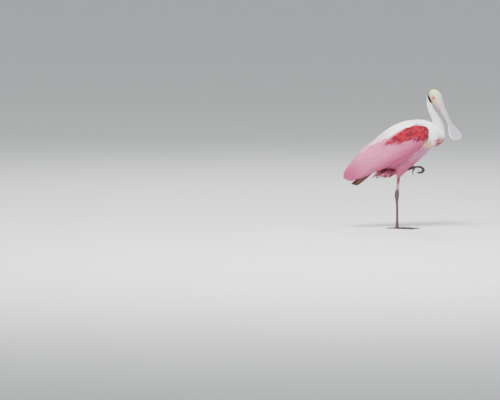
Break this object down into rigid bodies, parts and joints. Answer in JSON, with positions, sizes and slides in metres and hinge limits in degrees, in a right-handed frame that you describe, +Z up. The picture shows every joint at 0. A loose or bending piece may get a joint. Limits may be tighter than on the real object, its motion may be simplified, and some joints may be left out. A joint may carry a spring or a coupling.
{
  "type": "roseate spoonbill",
  "caption": "Life-size roseate spoonbill resting on its right leg, head turned to its right, the other foot drawn up, wings folded.",
  "frame": {"origin": "on the floor, under the pad of the standing right foot", "axes": "+X the way the body faces, +Y to its left, +Z up"},
  "size_m": [0.4228, 0.1773, 0.5033],
  "materials": {
    "bare_head_skin": "finely wrinkled greenish yellow skin, orange at the gape, with a black band behind the ear",
    "bill_horn": "grey-lavender horn, ridged, with a paler rim",
    "eye_red": "wet and dark red",
    "white_feathers": "soft white feathers",
    "blush_feathers": "soft feathers, white to pale pink",
    "pink_feathers": "pink flight feathers and coverts, crimson on the shoulder",
    "tail_feathers": "rusty orange feathers",
    "leg_skin": "red-pink scaly skin, mauve at the ankle",
    "foot_skin": "blackish scaly skin",
    "claw_horn": "black horn"
  },
  "bodies": {
    "root": {"head": "bare_head_skin", "upper_bill": "bill_horn", "lower_bill": "bill_horn", "eye_left": "eye_red", "eye_right": "eye_red", "neck_upper": "white_feathers", "neck_lower": "white_feathers", "torso": "blush_feathers", "tail": "tail_feathers", "wing_left": "pink_feathers", "wing_right": "pink_feathers", "thigh_left": "blush_feathers", "thigh_right": "blush_feathers", "shank_left": "leg_skin", "shank_right": "leg_skin", "tarsus_left": "leg_skin", "tarsus_right": "leg_skin", "foot_left": "foot_skin", "foot_right": "foot_skin", "claw_left_inner": "claw_horn", "claw_left_middle": "claw_horn", "claw_left_outer": "claw_horn", "claw_left_hind": "claw_horn", "claw_right_inner": "claw_horn", "claw_right_middle": "claw_horn", "claw_right_outer": "claw_horn", "claw_right_hind": "claw_horn"}
  },
  "joints": []
}
